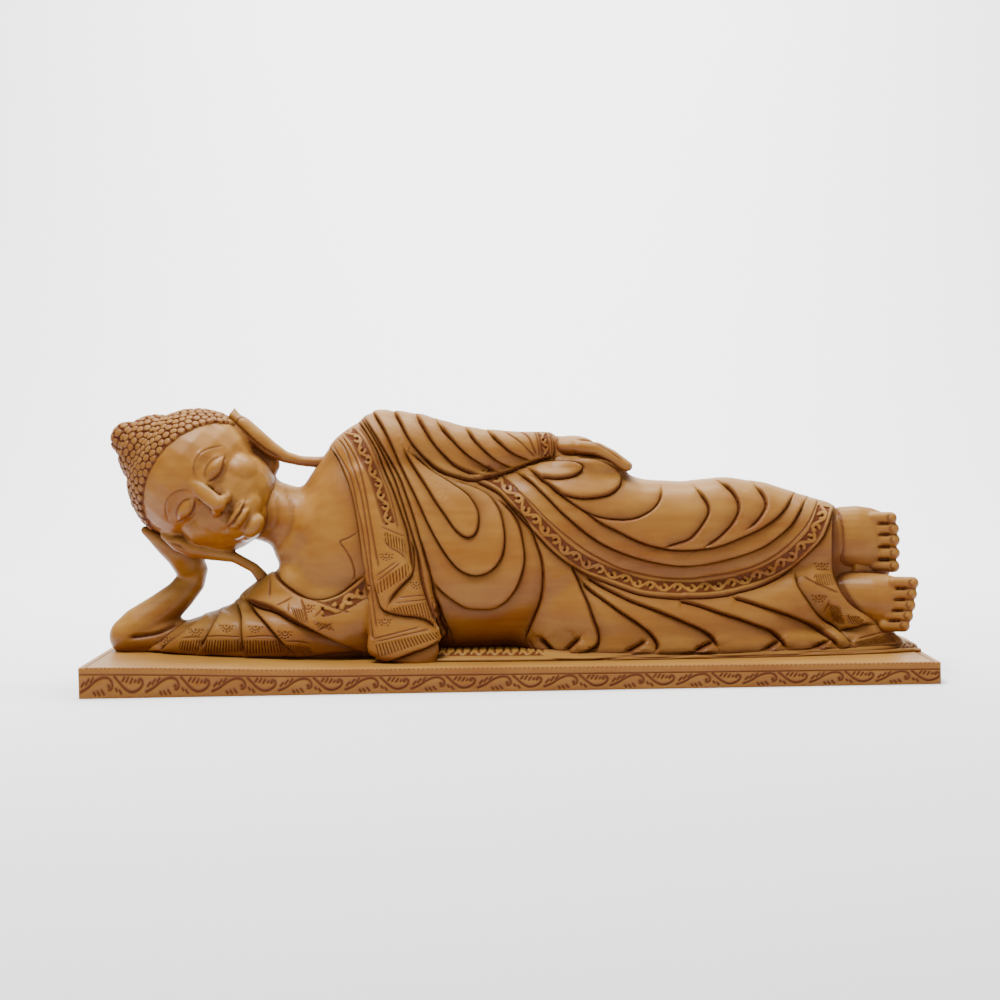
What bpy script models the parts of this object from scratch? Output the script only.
# Reclining buddha carved with its mat and plinth from one block of pale wood.
# X runs from the head to the feet, Y goes away from the viewer and Z is up.
import math

import bmesh
import bpy
import numpy as np
from mathutils import Matrix, Vector

# Sizes in metres
FIGURE_LENGTH = 0.5905
FIGURE_SHIFT = 0.0017
PLINTH_END_MARGIN = 0.00475
PLINTH_DEPTH = 0.150
PLINTH_HEIGHT = 0.017
PLINTH_EDGE = 0.0012
PLINTH_LINE_DROP = 0.0050
PLINTH_LINE_SIZE = 0.0012
PLINTH_END_RISE = 0.0032
PLINTH_RISE_START = -0.120
TOP_TILT = math.radians(0.31)
FOLD_DEPTH = 0.0030
FOLD_WIDTH = 0.0042
BORDER_DEPTH = 0.0022
CURL_PITCH = 0.0078
CURL_HEIGHT = 0.0026

# The figure is drawn in 594 parts of its own length, with Z measured from the
# top of the plinth. Every point and radius below is in these parts.
PARTS = 594.0
UNIT = FIGURE_LENGTH / PARTS
COARSE_GRAIN = 3.0
FINE_GRAIN = 1.9
TRIANGLES = 9100
PLINTH_SPANS = 10
DETAIL_CARE = 0.06
DETAIL_WEIGHT = 0.5

# Point that the fold lines are drawn from, and its mirror behind the figure
EYE = (-6.9, -1325.0, 181.0)
BACK_EYE = (-6.9, 1325.0, 181.0)

# Head: its middle, the way to the crown, to the figure's left and forward
HEAD_MIDDLE = Vector((-226.8, 18.0, 127.1))
HEAD_TILT = math.radians(53.5)
HEAD_HALF_WIDTH = 50.0
HEAD_HALF_HEIGHT = 48.0
HEAD_HALF_DEPTH = 46.0
HEAD_RISE = 9.0
CROWN = Vector((-math.sin(HEAD_TILT), 0.0, math.cos(HEAD_TILT)))
LEFT = Vector((math.cos(HEAD_TILT), 0.0, math.sin(HEAD_TILT)))
FORWARD = Vector((0.0, -1.0, 0.0))

# Body forms: stations of x, y, z, half depth and half height
TORSO = [
    (-158, 14, 62, 24, 44), (-148, 13, 68, 33, 56), (-138, 12, 72, 37, 66),
    (-126, 12, 77, 40, 76), (-108, 12, 82, 44, 84), (-75, 11, 80, 48, 82), (-40, 10, 74, 50, 78),
    (0, 10, 68, 49, 68), (35, 11, 62, 45, 60), (62, 12, 58, 40, 50),
]
HIPS_AND_LEG = [
    (-30, 12, 86, 36, 40), (-5, 10, 90, 42, 50), (20, 8, 94, 44, 53),
    (45, 8, 94, 44, 51), (70, 10, 91, 42, 48), (98, 12, 84, 40, 43),
    (127, 11, 82, 38, 43), (157, 11, 85, 36, 43), (187, 11, 86, 33, 38),
    (215, 12, 84, 30, 31), (238, 13, 81, 27, 27), (246, 13, 80, 22, 22),
]
SKIRT = [
    (5, 12, 30, 36, 34), (30, 12, 30, 46, 42), (60, 13, 28, 50, 42),
    (100, 13, 24, 51, 36), (145, 14, 22, 49, 32), (190, 15, 24, 45, 34),
    (215, 16, 30, 38, 40), (232, 17, 36, 31, 44), (243, 17, 34, 24, 36),
]
SKIRT_FOOT = [
    (15, 12, 4, 40, 10), (45, 12, 5, 49, 13), (100, 12, 5, 52, 13),
    (160, 13, 5, 50, 13), (215, 15, 5, 45, 12), (255, 17, 5, 39, 11),
    (280, 18, 3, 34, 9), (292, 18, 0, 28, 6),
]
HEM_PANEL = [
    (222, 14, 50, 34, 22), (240, 16, 34, 36, 30), (255, 17, 20, 37, 22),
    (270, 18, 12, 36, 15), (286, 18, 4, 32, 9),
]
FAN = [
    (-282, 22, 0, 14, 5), (-262, 20, 5, 22, 11), (-245, 17, 9, 27, 16),
    (-222, 14, 12, 31, 21), (-196, 12, 15, 36, 26), (-165, 10, 20, 42, 32),
    (-130, 10, 26, 45, 38), (-95, 10, 30, 46, 40),
]
MAT = [
    (-98, 10, 0, 45, 4), (-70, 9, 0.5, 54, 5), (0, 9, 1, 57, 5.5),
    (100, 9, 1, 57, 5.5), (200, 11, 1, 52, 5), (270, 14, 0.5, 44, 4.5),
    (293, 16, 0, 38, 4),
]

# Round forms: stations of x, y, z and radius
SLEEVE = [
    (-100, 12, 141, 33), (-88, 10, 149, 33.5), (-66, 6, 151, 27), (-43, 2, 150.5, 20),
    (-22, -2, 149.5, 16.5), (-4, -4, 149.5, 15), (12, -5, 151.5, 12.5), (28, -5, 153, 11),
]
NECK = [(-205, 19, 114, 26), (-178, 17, 106, 23.5), (-150, 14, 96, 25)]
FOREARM = [
    (-285, 14, 14, 15), (-277, 16, 20.5, 15.8), (-261, 20, 32.5, 13.6), (-248, 24, 44, 11.4),
    (-240, 26, 54, 11), (-238.5, 26, 61, 11.5), (-242, 25, 68, 12.5),
]
UPPER_ARM = [(-285, 14, 14, 15), (-240, 20, 10, 15), (-190, 18, 14, 22), (-150, 14, 30, 32)]
SHAWL = [(-200, 8, 24, 16), (-184, 6, 41, 14), (-166, 4, 48, 20), (-140, 2, 40, 26)]
CHEST = [(-157, 8, 80, 19), (-135, 8, 92, 30)]
SHOULDER = [(-138, 12, 123, 14), (-127, 12, 137, 15.5), (-112, 12, 143, 24)]
HAND_UNDER_HEAD = [(-241, 23, 66, 11.8), (-247, 17, 76.5, 11.5), (-257, 13, 84, 8.8),
                   (-265, 11, 89.5, 5.6), (-271, 10, 93.5, 3.4)]
LEFT_HAND_FINGERS = 4
LEFT_HAND_SPREAD = 7.0
LEFT_FINGER = [(54, 0, 151.5, 5.2), (66, 0, 150, 5.0), (77, 0, 144.5, 4.6), (88, 0, 137, 3.8)]
EAR_UPPER = [(-204, 14, 177, 4), (-197, 13, 171, 6), (-187, 12, 161.5, 6.5), (-177, 12, 153, 6),
             (-166, 12, 146.5, 4.6), (-155, 12, 143.5, 4), (-144, 12, 142.5, 4.2), (-136, 12, 142, 5)]
EAR_LOWER = [(-254, 6, 93, 4), (-245, 1, 88.5, 5.6), (-232, 0, 82, 5.8), (-219, 3, 78.5, 4.6),
             (-204, 6, 75, 4), (-190, 6, 66, 4), (-184, 4, 58, 5)]
BEHIND_EAR = [(-196, 22, 152, 12), (-180, 21, 141, 10)]
# Each toe: its height and how far its tip reaches along the figure
TOE_RADIUS = 4.7
TOE_LENGTH = 18.0
TOE_SLOPE = 3.0
UPPER_FOOT_TOES = [(96.2, 286), (88.3, 287.6), (79.9, 288.2), (70.3, 288.2), (60.6, 288)]
LOWER_FOOT_TOES = [(50, 297.4), (42, 296.3), (33.8, 295.2), (26, 293.5), (18.8, 291)]
UPPER_FOOT_FRONT = 1.0
LOWER_FOOT_FRONT = -19.0
UPPER_FOOT = [
    (232, 14, 80, 16, 20), (245, 12, 80.5, 17, 24), (258, 10, 80.3, 15, 25),
    (268, 9, 79.3, 12, 24.5), (276, 8.5, 78.3, 8, 22.5), (281, 8, 77.8, 5, 19),
]
LOWER_FOOT = [
    (240, 4, 40, 14, 15), (252, 0, 38, 14.5, 18.5), (265, -6, 36.5, 13.5, 20),
    (276, -11, 35.6, 10.5, 20.2), (284, -13, 35, 7, 18.5), (288, -13, 35, 4.5, 16),
]
FOOT_ROOT = [(230, 12, 64, 13), (258, 10, 58, 12), (276, 10, 57, 8)]
LEFT_PALM = ((46, 1, 152), (18, 16, 8.2))
HIP_UNDER_HAND = ((50, 0, 138), (38, 22, 11))
STOLE = [(-108, -20, 140, 6, 9), (-101, -27, 115, 6, 10), (-92, -33, 88, 7, 14),
         (-84, -38, 60, 7, 20), (-79, -41, 35, 7, 26), (-76, -44, 12, 8, 28),
         (-80, -45, -2, 8, 25)]
# Hair cap: where it starts in front of and behind the head's middle, and the topknot
HAIR_START = -1.7
HAIR_SLOPE = 0.94
TOPKNOT = [(-3, -4, 43, 27), (-4, -4, 56, 20.5), (-7, -4, 66, 11.5)]
# Balls of the head and the face: left, forward and up of the head's middle, then half
# width, depth and height. A ball that isn't in the middle is mirrored.
HEAD_BALLS = [
    (0, 6, -22, 41, 37, 34), (0, 19, -43, 18, 17, 14), (0, 29, -36, 21, 14, 15),
    (22, 21, -18, 16, 16, 17),
]
FACE_BALLS = [
    (17.5, 35.5, -3.5, 10.5, 8.4, 6.4), (6.4, 44.5, -23.2, 3.8, 5.0, 3.8),
    (0, 41.0, -35.3, 12.5, 6.4, 2.6), (0, 40.6, -40.3, 9.5, 6.4, 3.1), (0, 35.5, -50.5, 10, 7.6, 6.5),
]
NOSE = [(0, 40, 9, 4.6), (0, 43.5, -4, 4.7), (0, 47.2, -16, 5.1), (0, 49.2, -22, 5.5)]
BROW_RIDGE = [(5, 42.6, 3.5, 2.4), (11, 43, 9.5, 2.4), (20, 40.5, 11, 2.4), (28, 35.3, 7.5, 2.2),
              (33, 30, 2, 2)]

# Fold lines as the eye sees them on the plane through the figure's middle.
# The cloth is full on the left of the way that each line is drawn.
FOLDS = {
    "sleeve": [(-85, 182), (-80, 173), (-74, 160), (-68, 152), (-62, 145), (-53, 138), (-44, 134),
               (-32, 131), (-21, 130), (-7, 133), (5, 137), (16, 141), (27, 144), (35, 146)],
    "arm_1": [(-65, 173), (-54, 154), (-46, 145), (-39, 139), (-30, 135)],
    "arm_2": [(-48, 166), (-37, 153), (-24, 142), (-9, 134)],
    "arm_3": [(-28, 162), (-16, 148), (-1, 138), (8, 137)],
    "arm_4": [(-11, 160), (2, 148), (16, 142)],
    "chest_1": [(-110, 172), (-97, 150), (-85, 120), (-76, 92), (-71, 62)],
    "chest_2": [(-103, 170), (-88, 145), (-76, 118), (-67, 88), (-58, 55), (-49, 24), (-44, 12)],
    "hook_1": [(-97, 175), (-85, 152), (-74, 127), (-61, 98), (-46, 71), (-37, 61), (-26, 57),
               (-15, 60), (-7, 69), (-4, 80), (-6, 102), (-16, 119), (-38, 129)],
    "hook_2": [(-77, 152), (-68, 135), (-54, 112), (-42, 94), (-36, 88), (-31, 86), (-26, 88),
               (-23, 95), (-23, 105), (-36, 122), (-53, 134)],
    "belly": [(-57, 53), (-50, 45), (-41, 38), (-33, 33), (-23, 32), (-13, 32), (-4, 37), (3, 45),
              (8, 56), (11, 69), (8, 91), (-1, 107), (-8, 114)],
    "waist": [(-3, 113), (8, 103), (15, 93), (20, 80), (24, 69), (25, 56), (24, 45), (17, 25),
              (10, 8)],
    "thigh_1": [(5, 135), (15, 128), (30, 113), (46, 97), (66, 81), (92, 69), (125, 62),
                (158, 66), (188, 76), (208, 92), (218, 110)],
    "thigh_2": [(14, 137), (32, 123), (46, 111), (66, 96), (93, 82), (125, 74), (158, 78),
                (184, 89), (204, 105), (209, 114)],
    "hip_1": [(19, 131), (39, 129), (48, 131), (54, 135), (54, 138), (49, 141), (38, 142)],
    "hip_2": [(30, 124), (43, 116), (65, 115), (81, 122), (83, 128), (80, 134), (63, 143)],
    "knee_1": [(112, 121), (112, 114), (102, 102), (93, 98), (71, 98), (52, 107)],
    "knee_2": [(138, 120), (148, 104), (144, 95), (133, 82), (113, 76)],
    "shin_1": [(155, 125), (168, 113), (170, 104), (160, 88), (143, 76)],
    "shin_2": [(181, 122), (190, 107), (186, 99), (175, 89)],
    "skirt_1": [(56, 0), (65, 9), (60, 26), (53, 46), (45, 64)],
    "skirt_2": [(54, 52), (70, 38), (93, 21), (109, 4)],
    "skirt_3": [(57, 56), (88, 38), (124, 23), (149, 10), (153, 2)],
    "skirt_4": [(125, 38), (154, 28), (181, 18), (200, 8), (204, 0)],
    "skirt_5": [(165, 40), (206, 25), (237, 9), (242, 1)],
    "hem_fold": [(209, 57), (216, 38), (229, 22), (246, 14), (267, 18)],
    "chest_cloth": [(-109, 59), (-114, 52), (-122, 46), (-133, 41), (-144, 41), (-155, 44),
                    (-166, 51), (-172, 58), (-175, 67)],
    "ruffle_1": [(22, 11), (28, 5), (33, -5)],
    "ruffle_2": [(52, 11), (45, 5), (38, -5)],
    "ruffle_3": [(101, 8), (95, 5), (85, -4)],
    "ruffle_4": [(149, 8), (140, 3), (124, -3)],
    "ruffle_5": [(196, 8), (189, 4), (176, -4)],
    "ruffle_6": [(236, 6), (229, 2), (210, -4)],
    "fan_1": [(-224, 34), (-235, 25), (-245, 17), (-255, 10), (-260, 4)],
    "fan_2": [(-214, 36), (-218, 28), (-224, 17), (-230, 6)],
    "fan_3": [(-203, 40), (-200, 31), (-200, 18), (-198, 1)],
    "fan_4": [(-194, 40), (-186, 29), (-177, 18), (-169, 8), (-161, 1)],
    "fan_5": [(-196, 42), (-174, 34), (-159, 25), (-141, 15), (-122, 6), (-106, 0)],
}
# Raised borders: the band lies on the left of the way that each line is drawn
BORDERS = {
    "neckline": [(-131, 152), (-126, 145), (-122, 135), (-118, 124), (-115, 112), (-113, 100),
                 (-111, 85), (-109, 67), (-106, 41), (-102, 11)],
    "wrap": [(-23, 130), (-14, 124), (-7, 118), (0, 110), (9, 98), (19, 88), (28, 78), (38, 69),
             (51, 60), (66, 53), (81, 47), (95, 42), (110, 40), (128, 39), (143, 39), (158, 41),
             (173, 44), (185, 48), (198, 54), (211, 62), (222, 72), (231, 82), (236, 94),
             (239, 104)],
    "stole": [(-102, 70), (-103, 11), (-102, -2), (-93, -5), (-64, 4), (-52, 9), (-49, 15),
              (-52, 27), (-60, 52), (-69, 78)],
}
BACK_FOLDS = {
    "back_1": [(-120, 150), (-80, 120), (-20, 100), (60, 95), (150, 90), (230, 85)],
    "back_2": [(-130, 110), (-80, 80), (-10, 62), (80, 60), (170, 60), (235, 60)],
    "back_3": [(-130, 70), (-70, 45), (20, 32), (120, 30), (230, 32)],
    "back_4": [(-100, 165), (-50, 140), (20, 130), (90, 115)],
    "back_5": [(-60, 20), (40, 10), (150, 8), (260, 6)],
}


def clear_scene():
    for item in list(bpy.data.objects):
        bpy.data.objects.remove(item, do_unlink=True)


def material(name, colour, roughness):
    made = bpy.data.materials.new(name)
    made.use_nodes = True
    shader = made.node_tree.nodes["Principled BSDF"]
    shader.inputs["Base Color"].default_value = colour
    shader.inputs["Roughness"].default_value = roughness
    shader.inputs["Metallic"].default_value = 0.0
    return made


def loft(target, stations, squareness=1.0, around=28, upright=True):
    """Add a closed form through rings at the stations to the target mesh."""
    centres = [Vector(station[:3]) for station in stations]
    rings = []
    for index, station in enumerate(stations):
        before = centres[max(index - 1, 0)]
        after = centres[min(index + 1, len(centres) - 1)]
        along = Vector((1.0, 0.0, 0.0)) if upright else (after - before).normalized()
        side = Vector((0.0, 1.0, 0.0))
        side = (side - along * side.dot(along)).normalized()
        rise = along.cross(side)
        half_side = station[3]
        half_rise = station[4] if len(station) > 4 else station[3]
        ring = []
        for step in range(around):
            angle = 2.0 * math.pi * step / around
            across = math.cos(angle)
            upward = math.sin(angle)
            across = math.copysign(abs(across) ** squareness, across)
            upward = math.copysign(abs(upward) ** squareness, upward)
            point = centres[index] + side * across * half_side + rise * upward * half_rise
            ring.append(target.verts.new(point))
        rings.append(ring)
    for near, far in zip(rings, rings[1:]):
        for step in range(around):
            follow = (step + 1) % around
            target.faces.new((near[step], near[follow], far[follow], far[step]))
    target.faces.new(rings[0][::-1])
    target.faces.new(rings[-1])


def limb(target, stations):
    """Add a round form that ends in a ball at both ends."""
    loft(target, stations, around=20, upright=False)
    for end in (stations[0], stations[-1]):
        ball(target, end[:3], (end[3], end[3], end[3]))


def ball(target, centre, radii, turn=None, around=24, levels=12):
    """Add an egg form with its own half sizes."""
    place = Matrix.Translation(Vector(centre))
    if turn is not None:
        place = place @ turn
    rings = []
    for level in range(1, levels):
        slope = math.pi * level / levels
        ring = []
        for step in range(around):
            angle = 2.0 * math.pi * step / around
            spot = Vector((math.sin(slope) * math.cos(angle) * radii[0],
                           math.sin(slope) * math.sin(angle) * radii[1],
                           math.cos(slope) * radii[2]))
            ring.append(target.verts.new(place @ spot))
        rings.append(ring)
    top = target.verts.new(place @ Vector((0.0, 0.0, radii[2])))
    low = target.verts.new(place @ Vector((0.0, 0.0, -radii[2])))
    for step in range(around):
        follow = (step + 1) % around
        target.faces.new((top, rings[0][step], rings[0][follow]))
        target.faces.new((low, rings[-1][follow], rings[-1][step]))
        for near, far in zip(rings, rings[1:]):
            target.faces.new((near[step], far[step], far[follow], near[follow]))


def head_turn():
    """Return the turn from left, back and crown to the world."""
    rows = Matrix((LEFT, -FORWARD, CROWN)).transposed()
    return rows.to_4x4()


def on_head(left, forward, up):
    """Return the point that lies this far left, forward and up of the head's middle."""
    return HEAD_MIDDLE + LEFT * left + FORWARD * forward + CROWN * up


def add_on_head(target, balls):
    """Add balls that are placed from the head's middle, mirrored where they lie beside it."""
    turn = head_turn()
    for left, forward, up, half_width, half_depth, half_height in balls:
        for side in (-1, 1) if left else (1,):
            middle = on_head(side * left, forward, up)
            ball(target, middle, (half_width, half_depth, half_height), turn)


def add_head(target):
    skull = (0, 0, HEAD_RISE, HEAD_HALF_WIDTH, HEAD_HALF_DEPTH, HEAD_HALF_HEIGHT)
    add_on_head(target, [skull, *HEAD_BALLS])
    limb(target, [(*on_head(*station[:3]), station[3]) for station in TOPKNOT])


def add_face(target):
    add_on_head(target, FACE_BALLS)
    limb(target, [(*on_head(*station[:3]), station[3]) for station in NOSE])
    for side in (-1, 1):
        ridge = [(*on_head(side * left, forward, up), radius) for left, forward, up, radius in BROW_RIDGE]
        limb(target, ridge)


def add_foot(target, form, toes, front):
    """Add a foot that lies on its side, with its toes one above the other."""
    loft(target, form)
    for height, tip in toes:
        root = (tip - TOE_LENGTH, front + TOE_SLOPE, height, TOE_RADIUS)
        limb(target, [root, (tip - TOE_RADIUS, front, height, TOE_RADIUS)])


def add_left_hand(target):
    ball(target, LEFT_PALM[0], LEFT_PALM[1])
    ball(target, HIP_UNDER_HAND[0], HIP_UNDER_HAND[1])
    for finger in range(LEFT_HAND_FINGERS):
        shift = (finger - (LEFT_HAND_FINGERS - 1) / 2) * LEFT_HAND_SPREAD
        limb(target, [(x - abs(shift) * 0.25, y + shift, z, r) for x, y, z, r in LEFT_FINGER])


def finished(mesh, name):
    """Turn the target mesh into an object of the scene."""
    bmesh.ops.recalc_face_normals(mesh, faces=mesh.faces)
    data = bpy.data.meshes.new(name)
    mesh.to_mesh(data)
    mesh.free()
    made = bpy.data.objects.new(name, data)
    bpy.context.scene.collection.objects.link(made)
    return made


def settle(item):
    """Keep the result of the object's modifiers as its mesh."""
    held = bpy.context.evaluated_depsgraph_get()
    data = bpy.data.meshes.new_from_object(item.evaluated_get(held), depsgraph=held)
    item.modifiers.clear()
    item.data = data


def fuse(item, grain, softening):
    """Make one skin out of all the forms in the object and soften its creases."""
    skin = item.modifiers.new("One skin", "REMESH")
    skin.mode = "VOXEL"
    skin.voxel_size = grain
    soft = item.modifiers.new("Soften", "SMOOTH")
    soft.factor = 0.5
    soft.iterations = softening
    settle(item)


def points_and_normals(data):
    count = len(data.vertices)
    points = np.empty(count * 3)
    normals = np.empty(count * 3)
    data.vertices.foreach_get("co", points)
    data.vertices.foreach_get("normal", normals)
    return points.reshape(-1, 3), normals.reshape(-1, 3)


def seen_from(eye, points):
    """Return where the eye sees the points on the plane through the figure's middle."""
    scale = eye[1] / (eye[1] - points[:, 1])
    across = eye[0] + (points[:, 0] - eye[0]) * scale
    upward = eye[2] + (points[:, 2] - eye[2]) * scale
    return np.stack((across, upward), axis=1)


def gap_to_line(places, line):
    """Return the distance to the line, positive on its left."""
    nearest = np.full(len(places), 1e9)
    signed = np.full(len(places), 1e9)
    for start, end in zip(line, line[1:]):
        start = np.array(start, float)
        step = np.array(end, float) - start
        share = np.clip((places - start) @ step / (step @ step), 0.0, 1.0)
        away = places - start - share[:, None] * step
        length = np.hypot(away[:, 0], away[:, 1])
        side = np.sign(step[0] * away[:, 1] - step[1] * away[:, 0])
        closer = length < nearest
        nearest = np.where(closer, length, nearest)
        signed = np.where(closer, length * side, signed)
    return signed


def facing(eye, points, normals):
    """Return how far each point faces the eye, from 0 to 1."""
    toward = np.array(eye) - points
    toward /= np.linalg.norm(toward, axis=1)[:, None]
    return np.clip((toward * normals).sum(axis=1) * 3.0, 0.0, 1.0)


def fold_shape(gap, width):
    """A full edge on the positive side and a hollow on the other."""
    full = np.exp(-gap / (width * 1.6)) * (1.0 - np.exp(-gap / (width * 0.25)))
    hollow = -np.exp(gap / width)
    return np.where(gap > 0.0, full * 0.75, hollow)


def carve_folds(data):
    points, normals = points_and_normals(data)
    depth = FOLD_DEPTH / UNIT
    width = FOLD_WIDTH / UNIT
    lift = np.zeros(len(points))
    places = seen_from(EYE, points)
    front = facing(EYE, points, normals)
    for line in FOLDS.values():
        gap = gap_to_line(places, line)
        lift += depth * front * fold_shape(gap, width) * (np.abs(gap) < width * 5.0)
    step = BORDER_DEPTH / UNIT
    for line in BORDERS.values():
        gap = gap_to_line(places, line)
        raised = np.where(gap > 0.0, np.exp(-gap / (width * 3.0)), -0.8 * np.exp(gap / width))
        lift += step * front * raised * (np.abs(gap) < width * 6.0)
    places = seen_from(BACK_EYE, points)
    behind = facing(BACK_EYE, points, normals)
    for line in BACK_FOLDS.values():
        gap = gap_to_line(places, line)
        lift += 0.8 * depth * behind * fold_shape(gap, width * 1.3)
    points = points + normals * lift[:, None]
    data.vertices.foreach_set("co", points.ravel())
    data.update()


def ring_of_curls(skin, centre, halves, turn, pitch):
    """Return the middles of offset rings of curls on the skin round the centre."""
    middles = []
    levels = int(math.pi * (halves[0] + halves[2]) / 2 / (pitch * 0.87))
    for level in range(levels):
        slope = math.pi * level / levels
        round_length = 2.0 * math.pi * halves[0] * math.sin(slope)
        count = max(1, round(round_length / pitch))
        for step in range(count):
            angle = 2.0 * math.pi * (step + 0.5 * (level % 2)) / count
            way = Vector((math.sin(slope) * math.cos(angle) * halves[0],
                          math.sin(slope) * math.sin(angle) * halves[1],
                          math.cos(slope) * halves[2]))
            met, spot = skin.ray_cast(centre, turn @ way)[:2]
            if met:
                middles.append(spot.copy())
    return middles


def carve_curls(figure):
    """Raise the cap of snail curls on the head and the topknot."""
    data = figure.data
    points, normals = points_and_normals(data)
    turn = head_turn().to_3x3()
    pitch = CURL_PITCH / UNIT
    local = (points - np.array(HEAD_MIDDLE)) @ np.array(turn)
    leftward, back, upward = local[:, 0], local[:, 1], local[:, 2]
    inside = np.hypot(np.hypot(leftward, back), upward * 0.5) < 60.0
    hair = inside & (upward > HAIR_START - HAIR_SLOPE * back)
    skull = (HEAD_HALF_WIDTH, HEAD_HALF_DEPTH, HEAD_HALF_HEIGHT)
    root = TOPKNOT[0]
    knot = (root[3], root[3], root[3])
    knot_middle = on_head(*root[:3])
    middles = ring_of_curls(figure, on_head(0, 0, HEAD_RISE), skull, turn, pitch)
    middles = [m for m in middles if (m - knot_middle).length > root[3] * 1.03]
    for spot in ring_of_curls(figure, knot_middle, knot, turn, pitch):
        if (spot - HEAD_MIDDLE).dot(CROWN) > root[2] * 0.8:
            middles.append(spot)
    nearest = np.full(len(points), 1e9)
    chosen = np.flatnonzero(hair)
    for spot in middles:
        away = np.linalg.norm(points[chosen] - np.array(spot), axis=1)
        nearest[chosen] = np.minimum(nearest[chosen], away)
    dome = np.sqrt(np.clip(1.0 - (nearest / (pitch * 0.58)) ** 2, 0.0, 1.0))
    lift = np.where(hair, 0.8 + CURL_HEIGHT / UNIT * dome, 0.0)
    points = points + normals * lift[:, None]
    data.vertices.foreach_set("co", points.ravel())
    data.update()


def plain_parts(figure):
    """Mark all but the head, the hands and the toes, which keep more facets."""
    group = figure.vertex_groups.new(name="Plain")
    for vertex in figure.data.vertices:
        spot = vertex.co
        head = (spot - HEAD_MIDDLE).length < HEAD_HALF_HEIGHT * 1.7 and spot.x < NECK[1][0]
        hand = SLEEVE[-1][0] < spot.x < LEFT_FINGER[-1][0] and spot.z > LEFT_FINGER[-1][2]
        toes = spot.x > UPPER_FOOT_TOES[0][1] - 20
        weight = DETAIL_WEIGHT if head or hand or toes else 1.0
        group.add([vertex.index], weight, "REPLACE")
    return group


def build_figure():
    body = bmesh.new()
    loft(body, TORSO)
    loft(body, HIPS_AND_LEG, squareness=0.85)
    loft(body, SKIRT, squareness=0.8)
    loft(body, SKIRT_FOOT, squareness=0.6)
    loft(body, HEM_PANEL)
    limb(body, FOOT_ROOT)
    loft(body, FAN)
    limb(body, SLEEVE)
    limb(body, NECK)
    limb(body, UPPER_ARM)
    limb(body, FOREARM)
    limb(body, SHAWL)
    limb(body, CHEST)
    limb(body, SHOULDER)
    limb(body, BEHIND_EAR)
    loft(body, STOLE, upright=False)
    add_head(body)
    figure = finished(body, "reclining_buddha")
    fuse(figure, COARSE_GRAIN, 8)

    parts = bmesh.new()
    parts.from_mesh(figure.data)
    loft(parts, MAT, squareness=0.45)
    limb(parts, HAND_UNDER_HEAD)
    limb(parts, EAR_UPPER)
    limb(parts, EAR_LOWER)
    add_left_hand(parts)
    add_foot(parts, UPPER_FOOT, UPPER_FOOT_TOES, UPPER_FOOT_FRONT)
    add_foot(parts, LOWER_FOOT, LOWER_FOOT_TOES, LOWER_FOOT_FRONT)
    add_face(parts)
    old = figure.data
    bmesh.ops.recalc_face_normals(parts, faces=parts.faces)
    fresh = bpy.data.meshes.new("reclining_buddha")
    parts.to_mesh(fresh)
    parts.free()
    figure.data = fresh
    bpy.data.meshes.remove(old)
    fuse(figure, FINE_GRAIN, 2)
    carve_folds(figure.data)
    carve_curls(figure)

    fewer = figure.modifiers.new("Facets", "DECIMATE")
    fewer.ratio = TRIANGLES / (2.0 * len(figure.data.vertices))
    fewer.use_collapse_triangulate = True
    fewer.vertex_group = plain_parts(figure).name
    fewer.vertex_group_factor = DETAIL_CARE
    settle(figure)
    figure.data.transform(Matrix.Translation((FIGURE_SHIFT, 0, PLINTH_HEIGHT))
                          @ Matrix.Rotation(TOP_TILT, 4, "Y") @ Matrix.Scale(UNIT, 4))
    return figure


def plinth_rise(across):
    """Return how far the plinth's top lies above its height at the middle."""
    end = FIGURE_LENGTH / 2.0 + PLINTH_END_MARGIN
    share = min(max((PLINTH_RISE_START - across) / (PLINTH_RISE_START + end), 0.0), 1.0)
    return PLINTH_END_RISE * share * share * (3.0 - 2.0 * share) - across * math.tan(TOP_TILT)


def build_plinth():
    """Make the block with its eased top edge and the line cut round it below."""
    half_length = FIGURE_LENGTH / 2.0 + PLINTH_END_MARGIN
    half_depth = PLINTH_DEPTH / 2.0
    line = PLINTH_HEIGHT - PLINTH_LINE_DROP
    levels = [(0.0, 0.0), (line - PLINTH_LINE_SIZE, 0.0), (line, PLINTH_LINE_SIZE),
              (line + PLINTH_LINE_SIZE, 0.0), (PLINTH_HEIGHT - PLINTH_EDGE, 0.0),
              (PLINTH_HEIGHT, PLINTH_EDGE)]
    shares = [2.0 * step / PLINTH_SPANS - 1.0 for step in range(PLINTH_SPANS + 1)]
    block = bmesh.new()
    rings = []
    for height, inset in levels:
        ring = []
        for deep, order in ((-1, shares), (1, shares[::-1])):
            for share in order:
                across = share * (half_length - inset)
                level = height + plinth_rise(across) if height else 0.0
                ring.append(block.verts.new((across, deep * (half_depth - inset), level)))
        rings.append(ring)
    count = len(rings[0])
    for near, far in zip(rings, rings[1:]):
        for step in range(count):
            follow = (step + 1) % count
            block.faces.new((near[step], near[follow], far[follow], far[step]))
    for ring in (rings[0], rings[-1]):
        for step in range(PLINTH_SPANS):
            opposite = count - 1 - step
            block.faces.new((ring[step], ring[step + 1], ring[opposite - 1], ring[opposite]))
    return finished(block, "plinth")


clear_scene()
figure = build_figure()
plinth = build_plinth()
joined = figure.modifiers.new("With plinth", "BOOLEAN")
joined.operation = "UNION"
joined.solver = "EXACT"
joined.object = plinth
settle(figure)
bpy.data.objects.remove(plinth, do_unlink=True)
figure.data.materials.clear()
figure.data.materials.append(material("honey_wood", (0.386, 0.202, 0.063, 1.0), 0.42))
